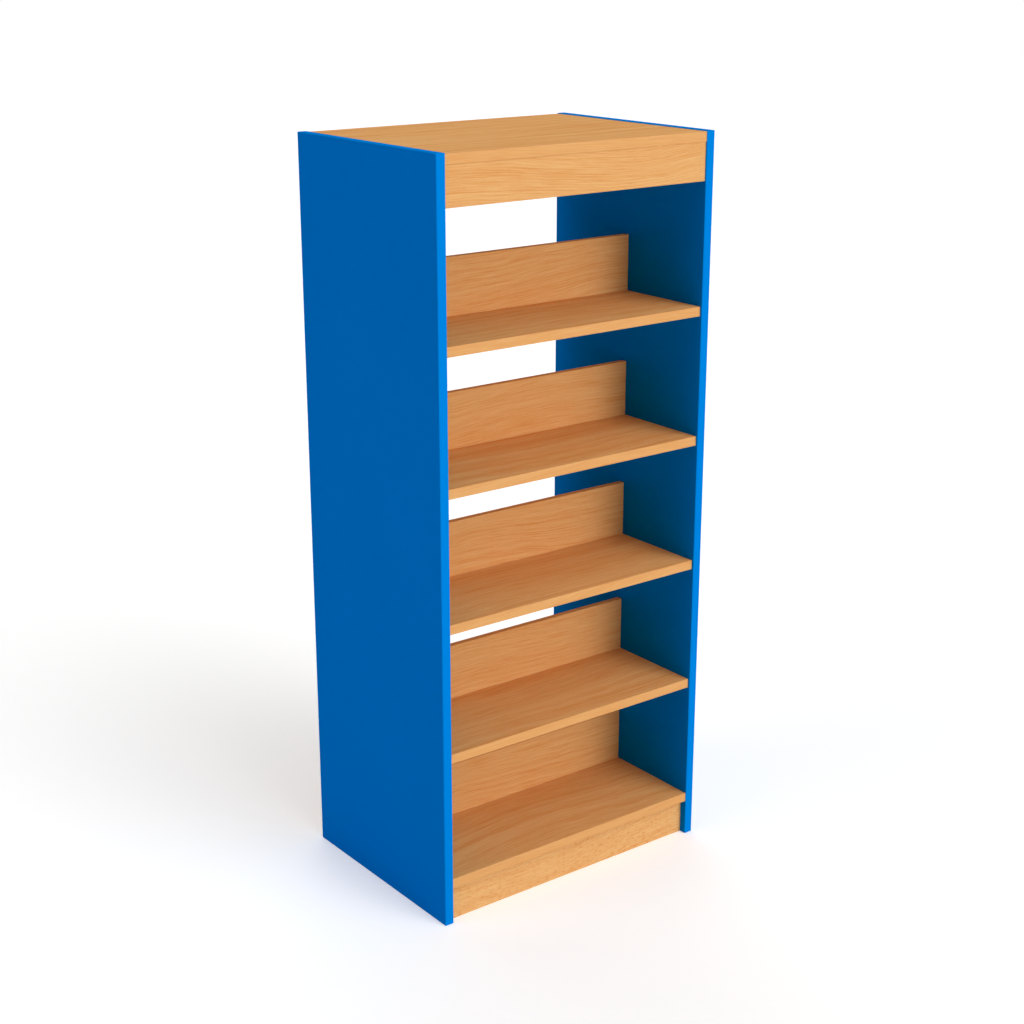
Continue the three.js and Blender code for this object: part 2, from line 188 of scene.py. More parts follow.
class ShelvingFittings(bpy.types.PropertyGroup):
    """Sizes of the dowels, pegs, connectors and screws"""

    play: FloatProperty(
        name="Play", description="Gap all round a fitting in its bore",
        default=0.2 * MM, min=0.05 * MM, max=0.4 * MM, precision=5, unit="LENGTH")
    round_steps: IntProperty(
        name="Round steps", description="Faces round a peg, dowel, bolt, screw or bore",
        default=32, min=12, max=64)
    edge: FloatProperty(
        name="Edge", description="Width of the chamfers on dowels and metal edges",
        default=0.7 * MM, min=0.1 * MM, max=1 * MM, precision=5, unit="LENGTH")
    dowel_diameter: FloatProperty(
        name="Dowel", description="Diameter of a dowel",
        default=8 * MM, min=5 * MM, max=12 * MM, precision=5, unit="LENGTH")
    dowel_inset: FloatProperty(
        name="Dowel inset", description="From the long edges of the top and base to their dowels",
        default=170 * MM, min=130 * MM, max=220 * MM, precision=5, unit="LENGTH")
    rail_dowel_inset: FloatProperty(
        name="Rail dowel inset", description="From the ends of a fascia or plinth to its dowels",
        default=100 * MM, min=60 * MM, max=200 * MM, precision=5, unit="LENGTH")
    bolt_thread: FloatProperty(
        name="Bolt thread", description="Outer diameter of a connector bolt's thread",
        default=5 * MM, min=4 * MM, max=6 * MM, precision=5, unit="LENGTH")
    bolt_shank: FloatProperty(
        name="Bolt shank", description="Diameter of a connector bolt's shank",
        default=5.5 * MM, min=4.5 * MM, max=7 * MM, precision=5, unit="LENGTH")
    bolt_neck: FloatProperty(
        name="Bolt neck", description="Diameter of the neck that lies in a cam's slot",
        default=4 * MM, min=3 * MM, max=5 * MM, precision=5, unit="LENGTH")
    bolt_head: FloatProperty(
        name="Bolt head", description="Diameter of the head that lies in a cam's pocket",
        default=7 * MM, min=5.5 * MM, max=7.4 * MM, precision=5, unit="LENGTH")
    bolt_flange: FloatProperty(
        name="Bolt flange", description="Length of a connector bolt's collar and of its head",
        default=3 * MM, min=2 * MM, max=4 * MM, precision=5, unit="LENGTH")
    screw_thread: FloatProperty(
        name="Screw thread", description="Outer diameter of a screw's thread",
        default=4.5 * MM, min=3.5 * MM, max=6 * MM, precision=5, unit="LENGTH")
    screw_shank: FloatProperty(
        name="Screw shank", description="Diameter of a screw's plain shank",
        default=3.3 * MM, min=2.5 * MM, max=4 * MM, precision=5, unit="LENGTH")
    screw_tip: FloatProperty(
        name="Screw tip", description="Length of a screw's point",
        default=5 * MM, min=2 * MM, max=8 * MM, precision=5, unit="LENGTH")
    thread_pitch: FloatProperty(
        name="Thread pitch", description="Distance between the turns of a thread",
        default=2 * MM, min=1 * MM, max=3 * MM, precision=5, unit="LENGTH")


class ShelvingFinishes(bpy.types.PropertyGroup):
    """Colours and patterns of the surfaces"""

    # Painted light and shade: the two blues are lit and shaded copies of one colour. The lippings'
    # blue is paler, which is painted light on the edges that face the light. The facing blue holds
    # less green, which is painted shade against the orange light bounced on to the shaded inner
    # faces.
    blue: FloatVectorProperty(
        name="Blue", description="Colour of the end panels' faces",
        default=(0.0, 0.202, 0.728), min=0, max=1, subtype="COLOR")
    blue_edge_painted_light: FloatVectorProperty(
        name="Blue edge", description="Colour of the end panels' lippings",
        default=(0.0, 0.236, 0.768), min=0, max=1, subtype="COLOR")
    beech_pale: FloatVectorProperty(
        name="Pale beech", description="Colour between the growth lines",
        default=(0.872, 0.516, 0.214), min=0, max=1, subtype="COLOR")
    beech_dark: FloatVectorProperty(
        name="Dark beech", description="Colour of the growth lines and flecks",
        default=(0.759, 0.309, 0.086), min=0, max=1, subtype="COLOR")
    ring_pitch: FloatProperty(
        name="Ring pitch", description="Distance between the growth rings of the beech",
        default=2.4 * MM, min=2 * MM, max=30 * MM, precision=5, unit="LENGTH")
    ring_sway: FloatProperty(
        name="Ring sway", description="How far a growth ring wanders across the board",
        default=120 * MM, min=0, max=300 * MM, precision=5, unit="LENGTH")
    band_width: FloatProperty(
        name="Band width", description="Width of the broad pale and dark bands of the beech",
        default=30 * MM, min=10 * MM, max=100 * MM, precision=5, unit="LENGTH")
    steel: FloatVectorProperty(
        name="Steel", description="Colour of the pegs, bolts and screws",
        default=(0.56, 0.57, 0.58), min=0, max=1, subtype="COLOR")
    zinc: FloatVectorProperty(
        name="Zinc", description="Colour of the cast cams",
        default=(0.42, 0.43, 0.44), min=0, max=1, subtype="COLOR")


class ShelvingStage(bpy.types.PropertyGroup):
    """Camera and light of the studio"""

    camera_place: FloatVectorProperty(
        name="Camera place", description="Where the camera stands",
        default=(-2.7327, -3.6134, 2.4064), precision=4, subtype="TRANSLATION")
    camera_turn: FloatProperty(
        name="Camera turn", description="Turn of the view from straight at the front",
        default=math.radians(37.26), subtype="ANGLE")
    camera_dip: FloatProperty(
        name="Camera dip", description="Tilt of the view below the horizon",
        default=math.radians(17.78), subtype="ANGLE")
    lens: FloatProperty(
        name="Lens", description="Focal length in millimetres",
        default=62.91, min=10, max=300)
    light_level: FloatProperty(
        name="Light level", description="Brightness of all the soft lights together",
        default=1.0, min=0, max=5)
    floor_shade: FloatProperty(
        name="Floor shade", description="How strongly shadows show on the floor",
        default=0.95, min=0, max=1, subtype="FACTOR")
    floor_glow: FloatProperty(
        name="Floor glow", description="Share of the floor's white that no shadow takes away",
        default=0.31, min=0, max=1, subtype="FACTOR")


# Modelling by hand

def pick(*pieces):
    """Selects these objects alone and makes the last of them active."""
    bpy.ops.object.select_all(action="DESELECT")
    for piece in pieces:
        piece.select_set(True)
    bpy.context.view_layer.objects.active = pieces[-1]


def edit(piece):
    """Opens a piece alone in edit mode."""
    pick(piece)
    bpy.ops.object.mode_set(mode="EDIT")


def leave_edit():
    bpy.ops.object.mode_set(mode="OBJECT")


def new_piece(name):
    """Names the primitive just added and puts its place in its mesh."""
    piece = bpy.context.object
    piece.name = name
    piece.data.name = name
    bpy.ops.object.transform_apply(location=True, rotation=True, scale=True)
    return piece


def block(name, low, high):
    """A box between two corners."""
    bpy.ops.object.select_all(action="DESELECT")
    bpy.ops.mesh.primitive_cube_add(size=1, location=(low + high) / 2, scale=high - low)
    return new_piece(name)


def rod(name, start, end, radius, steps):
    """A cylinder between two points."""
    axis = end - start
    turn = axis.to_track_quat("Z", "Y").to_euler()
    bpy.ops.object.select_all(action="DESELECT")
    bpy.ops.mesh.primitive_cylinder_add(
        vertices=steps, radius=radius, depth=axis.length, location=(start + end) / 2, rotation=turn)
    return new_piece(name)


def choose_edges(piece, wanted):
    """Selects the edges of the piece in edit mode whose two ends pass the test."""
    bpy.ops.mesh.select_mode(type="EDGE")
    bpy.ops.mesh.select_all(action="DESELECT")
    mesh = bmesh.from_edit_mesh(piece.data)
    for edge in mesh.edges:
        edge.select_set(wanted(edge.verts[0].co, edge.verts[1].co))
    bmesh.update_edit_mesh(piece.data)


def choose_points(piece, wanted):
    """Selects the points of the piece in edit mode whose place passes the test."""
    bpy.ops.mesh.select_mode(type="VERT")
    bpy.ops.mesh.select_all(action="DESELECT")
    mesh = bmesh.from_edit_mesh(piece.data)
    for point in mesh.verts:
        point.select_set(wanted(point.co))
    bmesh.update_edit_mesh(piece.data)


def choose_faces(piece, wanted):
    """Selects the faces of the piece in edit mode whose centre and normal pass the test."""
    bpy.ops.mesh.select_mode(type="FACE")
    bpy.ops.mesh.select_all(action="DESELECT")
    mesh = bmesh.from_edit_mesh(piece.data)
    for face in mesh.faces:
        face.select_set(wanted(face.calc_center_median(), face.normal))
    bmesh.update_edit_mesh(piece.data)


def bevel(width, steps):
    """Rounds the selected edges, or chamfers them in one step."""
    bpy.ops.mesh.bevel(offset=width, segments=steps, affect="EDGES", clamp_overlap=False)


def combine(piece, others, operation):
    """Cuts other shapes out of a piece, or joins them to it, and removes them."""
    pick(*others)
    if len(others) > 1:
        bpy.ops.object.join()
    other = bpy.context.object
    pick(piece)
    bpy.ops.object.modifier_add(type="BOOLEAN")
    modifier = piece.modifiers[-1]
    modifier.operation = operation
    modifier.solver = "EXACT"
    modifier.object = other
    bpy.ops.object.modifier_apply(modifier=modifier.name)
    pick(other)
    bpy.ops.object.delete()


def merge_points(piece):
    """Merges the points that a cut left almost on top of each other."""
    edit(piece)
    bpy.ops.mesh.select_all(action="SELECT")
    bpy.ops.mesh.remove_doubles(threshold=MERGE)
    leave_edit()


def put(piece, place, turn=(0, 0, 0)):
    """Turns a piece that was modelled at the origin and moves it to its place."""
    pick(piece)
    piece.rotation_euler = turn
    piece.location = place
    bpy.ops.object.transform_apply(location=True, rotation=True, scale=True)


def smooth(piece):
    """Shades the rounded edges smooth and keeps the flat faces flat."""
    pick(piece)
    bpy.ops.object.shade_smooth_by_angle(angle=SMOOTH_ANGLE)
    bpy.ops.object.modifier_add(type="WEIGHTED_NORMAL")
    piece.modifiers[-1].keep_sharp = True
    bpy.ops.object.modifier_apply(modifier=piece.modifiers[-1].name)


def copy_of(piece, name, home, node):
    """Copies a piece from its home node to a like one, half turned if that is on the other side."""
    home_low, home_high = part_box(home)
    pick(piece)
    bpy.ops.object.duplicate(linked=False)
    copy = bpy.context.object
    copy.name = name
    copy.data.name = name
    if "left" in home and "right" in node:
        bpy.ops.transform.rotate(value=math.pi, orient_axis="Z", center_override=(0, 0, 0))
        home_low = Vector((-home_high.x, -home_high.y, home_low.z))
    bpy.ops.transform.translate(value=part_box(node)[0] - home_low)
    bpy.ops.object.transform_apply(location=True, rotation=True, scale=True)
    return copy


def settle(piece, node, material, stands_for=False):
    """Gives a piece its finish and lets it ride with the body of a node, or stand for the node."""
    piece.data.materials.clear()
    piece.data.materials.append(material)
    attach(piece, frame["nodes"][node]["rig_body"])
    if stands_for:
        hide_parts(node)


# Round shapes

def turned(name, profile, steps):
    """A round piece up the Z axis, through pairs of a height and the radius there."""
    height, radius = profile[0]
    bpy.ops.object.select_all(action="DESELECT")
    bpy.ops.mesh.primitive_circle_add(
        vertices=steps, radius=radius, fill_type="NGON", location=(0, 0, height))
    piece = new_piece(name)
    edit(piece)
    bpy.ops.mesh.select_mode(type="FACE")
    bpy.ops.mesh.select_all(action="SELECT")
    for next_height, next_radius in profile[1:]:
        bpy.ops.mesh.extrude_region_move(
            TRANSFORM_OT_translate={"value": (0, 0, next_height - height)})
        share = next_radius / radius
        bpy.ops.transform.resize(value=(share, share, share), center_override=(0, 0, next_height))
        height, radius = next_height, next_radius
    bpy.ops.mesh.select_all(action="SELECT")
    bpy.ops.mesh.normals_make_consistent(inside=False)
    leave_edit()
    return piece


def wind_thread(piece, start, end, crest, root):
    """Winds a sharp ridge round an upright turned piece and joins it on."""
    fittings = bpy.context.scene.shelving_fittings
    middle = root - THREAD_SINK
    bpy.ops.object.select_all(action="DESELECT")
    bpy.ops.mesh.primitive_circle_add(
        vertices=4, radius=crest - middle, location=(middle, 0, start),
        rotation=(math.pi / 2, 0, 0))
    ridge = new_piece("thread")
    edit(ridge)
    bpy.ops.mesh.select_all(action="SELECT")
    bpy.ops.transform.resize(
        value=(1, 1, THREAD_SHARPNESS), center_override=(middle, 0, start))
    leave_edit()
    bpy.ops.object.modifier_add(type="SCREW")
    winding = ridge.modifiers[-1]
    winding.screw_offset = fittings.thread_pitch
    winding.iterations = int((end - start) / fittings.thread_pitch)
    winding.steps = winding.render_steps = THREAD_STEPS
    bpy.ops.object.modifier_apply(modifier=winding.name)
    edit(ridge)
    bpy.ops.mesh.select_all(action="SELECT")
    bpy.ops.mesh.fill_holes(sides=0)
    bpy.ops.mesh.select_all(action="SELECT")
    bpy.ops.mesh.normals_make_consistent(inside=False)
    leave_edit()
    combine(piece, [ridge], "UNION")


def cut_cross(piece, diameter):
    """Cuts a tapered cross for a screwdriver in the lower face of a head at the origin."""
    length = diameter * CROSS_LENGTH
    width = diameter * CROSS_WIDTH
    depth = diameter * CROSS_DEPTH
    for reach in (Vector((length, width, 0)), Vector((width, length, 0))):
        arm = block("cross", -reach / 2 + DOWN * OVERCUT, reach / 2 + UP * depth)
        edit(arm)
        choose_faces(arm, lambda centre, normal: normal.z > SAME_WAY)
        bpy.ops.transform.resize(
            value=(CROSS_TAPER, CROSS_TAPER, 1), center_override=(0, 0, depth))
        leave_edit()
        combine(piece, [arm], "DIFFERENCE")


def bore(mouth, direction, depth, radius):
    """The cutter for a round hole, wider than what it holds and open at its mouth."""
    fittings = bpy.context.scene.shelving_fittings
    return rod("bore", mouth - direction * OVERCUT, mouth + direction * depth,
               radius + fittings.play, fittings.round_steps)


def middle_of(node):
    low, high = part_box(node)
    return (low + high) / 2


# Boards

def board_box(node):
    """A board's corners without its dowels. A rail ends under the board above it."""
    gap = bpy.context.scene.shelving_boards.joint_gap
    low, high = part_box(node)
    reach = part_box("end_panel_right")[0].x - gap
    low.x = max(low.x, -reach)
    high.x = min(high.x, reach)
    if node in RAILS:
        above = RAIL_BOARD[node.split("_")[0]]
        high.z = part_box(above)[0].z - gap
    return low, high


def dowel_roots(node):
    """Where dowels stand out of a fixed board or a rail, each with its direction."""
    fittings = bpy.context.scene.shelving_fittings
    low, high = board_box(node)
    middle = (low + high) / 2
    if node in RAILS:
        rows = [middle.y]
    else:
        rows = [low.y + fittings.dowel_inset, high.y - fittings.dowel_inset]
    roots = []
    for y in rows:
        roots.append((Vector((low.x, y, middle.z)), -ACROSS))
        roots.append((Vector((high.x, y, middle.z)), ACROSS))
    if node in RAILS:
        inset = fittings.rail_dowel_inset
        for x in (low.x + inset, middle.x, high.x - inset):
            roots.append((Vector((x, middle.y, high.z)), UP))
    return roots


def dowel_reach():
    """How far a dowel stands out of its board."""
    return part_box("top_panel")[1].x - board_box("top_panel")[1].x


def add_dowels(core, node):
    """Joins chamfered dowels to a fixed board or a rail."""
    fittings = bpy.context.scene.shelving_fittings
    dowels = []
    for root, direction in dowel_roots(node):
        tip = root + direction * dowel_reach()
        dowel = rod("dowel", root - direction * OVERCUT, tip,
                    fittings.dowel_diameter / 2, fittings.round_steps)
        edit(dowel)
        choose_edges(dowel, lambda start, end: (
            abs((start - tip).dot(direction)) < TOUCH and abs((end - tip).dot(direction)) < TOUCH))
        bevel(fittings.edge, 1)
        leave_edit()
        dowels.append(dowel)
    combine(core, dowels, "UNION")


def dowel_bores(nodes, wanted_direction, plane):
    """Cutters for the dowels of these nodes that point one way, from the plane of the mouths."""
    fittings = bpy.context.scene.shelving_fittings
    cutters = []
    for node in nodes:
        for root, direction in dowel_roots(node):
            if direction.dot(wanted_direction) > SAME_WAY:
                mouth = root + direction * (plane - root.dot(direction))
                cutters.append(bore(mouth, direction, dowel_reach(), fittings.dowel_diameter / 2))
    return cutters


def screw_holes(node, stop):
    """Countersunk cutters through a board, for the screws that hold its stop."""
    fittings = bpy.context.scene.shelving_fittings
    low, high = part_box(node)
    cutters = []
    for side in SIDES:
        screw_low, screw_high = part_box(f"{stop}_screw_{side}")
        head = (screw_high.x - screw_low.x) / 2 + fittings.play
        shank = fittings.screw_thread / 2 + fittings.play
        hole = turned("screw_hole", [
            (-OVERCUT, head), (0, head), (head - shank, shank), (high.z - low.z + OVERCUT, shank),
        ], fittings.round_steps)
        put(hole, Vector((middle_of(f"{stop}_screw_{side}").x, 0, low.z)))
        cutters.append(hole)
    return cutters


def on_side(place, low, high, side):
    """Whether a point lies in the plane of one side of a box."""
    edge = high if sum(side) > 0 else low
    return abs((place - edge).dot(side)) < TOUCH


def board_core(name, low, high, sides):
    """The board between its lippings, with the edges along each glue line chamfered."""
    boards = bpy.context.scene.shelving_boards
    low = low.copy()
    high = high.copy()
    for side in sides:
        if sum(side) < 0:
            low -= side * boards.lipping
        else:
            high -= side * boards.lipping
    core = block(name, low, high)
    edit(core)
    choose_edges(core, lambda start, end: any(
        on_side(start, low, high, side) and on_side(end, low, high, side) for side in sides))
    bevel(boards.seam, 1)
    leave_edit()
    return core


def lipping_strip(name, low, high, side):
    """The strip along one side of a board, rounded outside and chamfered at the glue line."""
    boards = bpy.context.scene.shelving_boards
    low = low.copy()
    high = high.copy()
    depth = abs((high - low).dot(side)) - boards.lipping
    if sum(side) < 0:
        high += side * depth
    else:
        low += side * depth
    strip = block(name, low, high)
    edit(strip)
    for wanted_side, width, steps in (
            (side, boards.strip_rounding, boards.rounding_steps), (-side, boards.seam, 1)):
        choose_edges(strip, lambda start, end: (
            on_side(start, low, high, wanted_side)
            and on_side(end, low, high, wanted_side)
            and (end - start).cross(ACROSS).length < TOUCH))
        bevel(width, steps)
    leave_edit()
    smooth(strip)
    return strip


def lipping_band(name, low, high):
    """The lipping round all four edges of an end panel, as a frame that the core lies in."""
    boards = bpy.context.scene.shelving_boards
    band = block(name, low, high)
    edit(band)
    bpy.ops.mesh.select_all(action="SELECT")
    bevel(boards.rounding, boards.rounding_steps)
    choose_faces(band, lambda centre, normal: abs(normal.x) > SAME_WAY)
    bpy.ops.mesh.inset(thickness=boards.lipping - boards.rounding, use_individual=True)
    bpy.ops.mesh.delete(type="FACE")
    bpy.ops.mesh.select_mode(type="EDGE")
    bpy.ops.mesh.select_all(action="DESELECT")
    bpy.ops.mesh.select_non_manifold()
    bpy.ops.mesh.bridge_edge_loops()
    inner_low = low + Vector((0, boards.lipping, boards.lipping))
    inner_high = high - Vector((0, boards.lipping, boards.lipping))
    choose_edges(band, lambda start, end: (
        abs(start.x - end.x) < TOUCH
        and all(inner_low.y - TOUCH < place.y < inner_high.y + TOUCH for place in (start, end))
        and all(inner_low.z - TOUCH < place.z < inner_high.z + TOUCH for place in (start, end))))
    bevel(boards.seam, 1)
    bpy.ops.mesh.select_all(action="SELECT")
    bpy.ops.mesh.normals_make_consistent(inside=False)
    leave_edit()
    smooth(band)
    return band


# Finishes

def add_node(tree, kind, inputs=None, **settings):
    """Adds a node and fills its sockets with values, or with links from other nodes' sockets."""
    node = tree.nodes.new(kind)
    for name, value in settings.items():
        setattr(node, name, value)
    for name, value in (inputs or {}).items():
        if isinstance(value, bpy.types.NodeSocket):
            tree.links.new(value, node.inputs[name])
        else:
            node.inputs[name].default_value = value
    return node


def math_node(tree, operation, *values):
    return add_node(tree, "ShaderNodeMath", dict(enumerate(values)), operation=operation).outputs[0]


def noise(tree, place, scale, detail=2.0, roughness=0.5):
    """Noise over a place that is stretched by its own scale along each direction."""
    stretched = add_node(tree, "ShaderNodeMapping", {"Vector": place, "Scale": scale})
    texture = add_node(tree, "ShaderNodeTexNoise", {
        "Vector": stretched.outputs["Vector"], "Scale": 1.0, "Detail": detail,
        "Roughness": roughness})
    return texture.outputs["Fac"]


def print_noise(tree, sheet, along, across, **settings):
    """Noise over the flat sheet of a beech print, by its counts along the grain and across it."""
    return noise(tree, sheet, (along, across, 1.0), **settings)


def new_finish(name, roughness, specular, metallic=0.0):
    material = bpy.data.materials.new(name)
    material.use_nodes = True
    shader = material.node_tree.nodes["Principled BSDF"]
    shader.inputs["Roughness"].default_value = roughness
    shader.inputs["Specular IOR Level"].default_value = specular
    shader.inputs["Metallic"].default_value = metallic
    return material, material.node_tree, shader


def connect_bump(tree, shader, height, distance, strength):
    bump = add_node(tree, "ShaderNodeBump", {
        "Height": height, "Distance": distance, "Strength": strength})
    tree.links.new(bump.outputs["Normal"], shader.inputs["Normal"])


def opaque(colour):
    return (*colour, 1.0)


def beech_finish(name, darkness, rings, bands, fibres, flecks):
    """Beech print: growth rings that wander along the board, broad bands, fibres and flecks."""
    finishes = bpy.context.scene.shelving_finishes
    material, tree, shader = new_finish(name, roughness=0.55, specular=0.0)
    place = add_node(tree, "ShaderNodeTexCoord").outputs["Object"]
    shift = add_node(tree, "ShaderNodeAttribute", attribute_name="print_shift").outputs["Vector"]
    spot = add_node(tree, "ShaderNodeVectorMath", {0: place, 1: shift}, operation="ADD").outputs[0]
    along = add_node(tree, "ShaderNodeSeparateXYZ", {0: spot}).outputs["X"]
    # Depth and height together, so that the print lies on flat and on upright faces alike
    across = add_node(tree, "ShaderNodeVectorMath", {0: spot, 1: REAR + UP}, operation="DOT_PRODUCT")
    across = across.outputs["Value"]
    sheet = add_node(tree, "ShaderNodeCombineXYZ", {"X": along, "Y": across}).outputs[0]
    hill = print_noise(tree, sheet, *HILLS, detail=0.0)
    ripple = print_noise(tree, sheet, *RIPPLES, detail=1.0)
    swayed = math_node(tree, "MULTIPLY_ADD", hill, finishes.ring_sway, across)
    swayed = math_node(tree, "MULTIPLY_ADD", ripple, finishes.ring_sway * RIPPLE_SHARE, swayed)
    grain = add_node(tree, "ShaderNodeCombineXYZ", {"X": along, "Y": swayed}).outputs[0]

    ring = print_noise(
        tree, grain, RINGS_ALONG, 1 / finishes.ring_pitch, detail=3.0, roughness=0.9)
    band = print_noise(tree, grain, BANDS_ALONG, 1 / finishes.band_width, detail=1.0)
    fibre = print_noise(tree, grain, *FIBRES, detail=2.0, roughness=0.6)
    fleck = add_node(tree, "ShaderNodeMapRange", {
        "Value": print_noise(tree, grain, *FLECKS, detail=0.0),
        "From Min": FLECK_EDGE[0], "From Max": FLECK_EDGE[1]}).outputs[0]
    even = darkness - (rings + bands + fibres) / 2 - flecks * FLECK_OFFSET
    tone = math_node(tree, "MULTIPLY_ADD", ring, rings, even)
    tone = math_node(tree, "MULTIPLY_ADD", band, bands, tone)
    tone = math_node(tree, "MULTIPLY_ADD", fibre, fibres, tone)
    tone = math_node(tree, "MULTIPLY_ADD", fleck, flecks, tone)
    colour = add_node(tree, "ShaderNodeMix", {
        "Factor": tone, 6: opaque(finishes.beech_pale), 7: opaque(finishes.beech_dark)},
        data_type="RGBA")
    tree.links.new(colour.outputs[2], shader.inputs["Base Color"])
    connect_bump(tree, shader, fibre, distance=0.02 * MM, strength=0.2)
    return material


def blue_finish(name, blue, grain_depth):
    """Matt blue with a fine pearl grain and the slightest unevenness of colour."""
    material, tree, shader = new_finish(name, roughness=0.5, specular=0.0)
    place = add_node(tree, "ShaderNodeTexCoord").outputs["Object"]
    cloud = noise(tree, place, CLOUDS)
    pearl = noise(tree, place, PEARLS)
    tone = math_node(tree, "MULTIPLY", math_node(tree, "ADD", pearl, cloud), 0.5)
    shade = add_node(tree, "ShaderNodeMix", {
        "Factor": tone, 6: opaque([(1 - BLUE_SPREAD) * part for part in blue]),
        7: opaque([(1 + BLUE_SPREAD) * part for part in blue])}, data_type="RGBA")
    tree.links.new(shade.outputs[2], shader.inputs["Base Color"])
    connect_bump(tree, shader, pearl, distance=grain_depth, strength=0.5)
    return material


def metal_finish(name, colour, roughness, grain):
    """Bare metal whose gloss changes over a fine grain."""
    material, tree, shader = new_finish(name, roughness, specular=0.5, metallic=1.0)
    place = add_node(tree, "ShaderNodeTexCoord").outputs["Object"]
    grain_noise = noise(tree, place, grain, detail=3.0)
    spread = add_node(tree, "ShaderNodeMapRange", {
        "Value": grain_noise, "To Min": roughness - METAL_SPREAD,
        "To Max": roughness + METAL_SPREAD})
    tree.links.new(spread.outputs[0], shader.inputs["Roughness"])
    shade = add_node(tree, "ShaderNodeMix", {
        "Factor": grain_noise, 6: opaque([(1 - METAL_SPREAD) * part for part in colour]),
        7: opaque(colour)}, data_type="RGBA")
    tree.links.new(shade.outputs[2], shader.inputs["Base Color"])
    connect_bump(tree, shader, grain_noise, distance=0.02 * MM, strength=0.3)
    return material


def finish(name):
    """One of the unit's finishes, made when it is first asked for."""
    found = bpy.data.materials.get(name)
    if found:
        return found
    finishes = bpy.context.scene.shelving_finishes
    if name == "blue_facing":
        return blue_finish(name, finishes.blue, grain_depth=0.03 * MM)
    # The lippings get the paler copy of the blue, which is painted light on the lit edges.
    if name == "blue_lipping_painted_light":
        return blue_finish(name, finishes.blue_edge_painted_light, grain_depth=0.01 * MM)
    if name in BEECH_MIXES:
        return beech_finish(name, *BEECH_MIXES[name])
    if name == "bright_steel":
        return metal_finish(name, finishes.steel, roughness=0.3, grain=STEEL_GRAIN)
    if name == "cast_zinc":
        return metal_finish(name, finishes.zinc, roughness=0.45, grain=ZINC_GRAIN)
    raise ValueError(f"there is no finish named {name}")


def settle_beech(piece, node, finish_name, stands_for=False):
    """Settles a piece of a beech board on a stretch of the print of its own."""
    steps = BEECH_NODES.index(node)
    if "lipping" in piece.name:
        steps += LIPPING_STEP
    attribute = piece.data.attributes.new("print_shift", "FLOAT_VECTOR", "POINT")
    attribute.data.foreach_set("vector", list(PRINT_STEP * steps) * len(piece.data.vertices))
    settle(piece, node, finish(finish_name), stands_for)


def fit_everywhere(piece, home, nodes, finish_name):
    """Copies a fitting modelled at its home node to each of these nodes, then removes it."""
    for node in nodes:
        fitting = copy_of(piece, f"{node}_fitting", home, node)
        settle(fitting, node, finish(finish_name), stands_for=True)
    pick(piece)
    bpy.ops.object.delete()


# Operators

class SHELVING_OT_end_panels(bpy.types.Operator):
    """Model the two blue end panels, each a core in a lipping band, bored for all that it holds"""

    bl_idname = "shelving.end_panels"
    bl_label = "End Panels"

    def execute(self, context):
        home = "end_panel_left"
        low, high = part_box(home)
        core = board_core(f"{home}_board", low, high, (FRONT, REAR, UP, DOWN))
        combine(core, self.bores(context, high.x), "DIFFERENCE")
        smooth(core)
        band = lipping_band(f"{home}_lipping", low, high)
        other = "end_panel_right"
        for node, board, lipping in (
                (home, core, band),
                (other, copy_of(core, f"{other}_board", home, other),
                 copy_of(band, f"{other}_lipping", home, other))):
            settle(board, node, finish("blue_facing"), stands_for=True)
            # The lipping band takes the paler blue, which is painted light on the edges.
            settle(lipping, node, finish("blue_lipping_painted_light"))
        return {"FINISHED"}

    def bores(self, context, inner_face):
        """Cutters for the left panel's pegs, bolts and dowels."""
        fittings = context.scene.shelving_fittings
        gap = context.scene.shelving_boards.joint_gap
        cutters = dowel_bores(["top_panel", "base_panel"] + RAILS, -ACROSS, -inner_face)
        for node in frame["nodes"]:
            if "_left_" not in node or not node.startswith(("shelf_peg", "cam_bolt")):
                continue
            low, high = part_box(node)
            mouth = Vector((inner_face, middle_of(node).y, middle_of(node).z))
            radius = fittings.bolt_thread / 2 if "bolt" in node else (high.z - low.z) / 2
            cutters.append(bore(mouth, -ACROSS, inner_face - low.x + gap, radius))
        return cutters


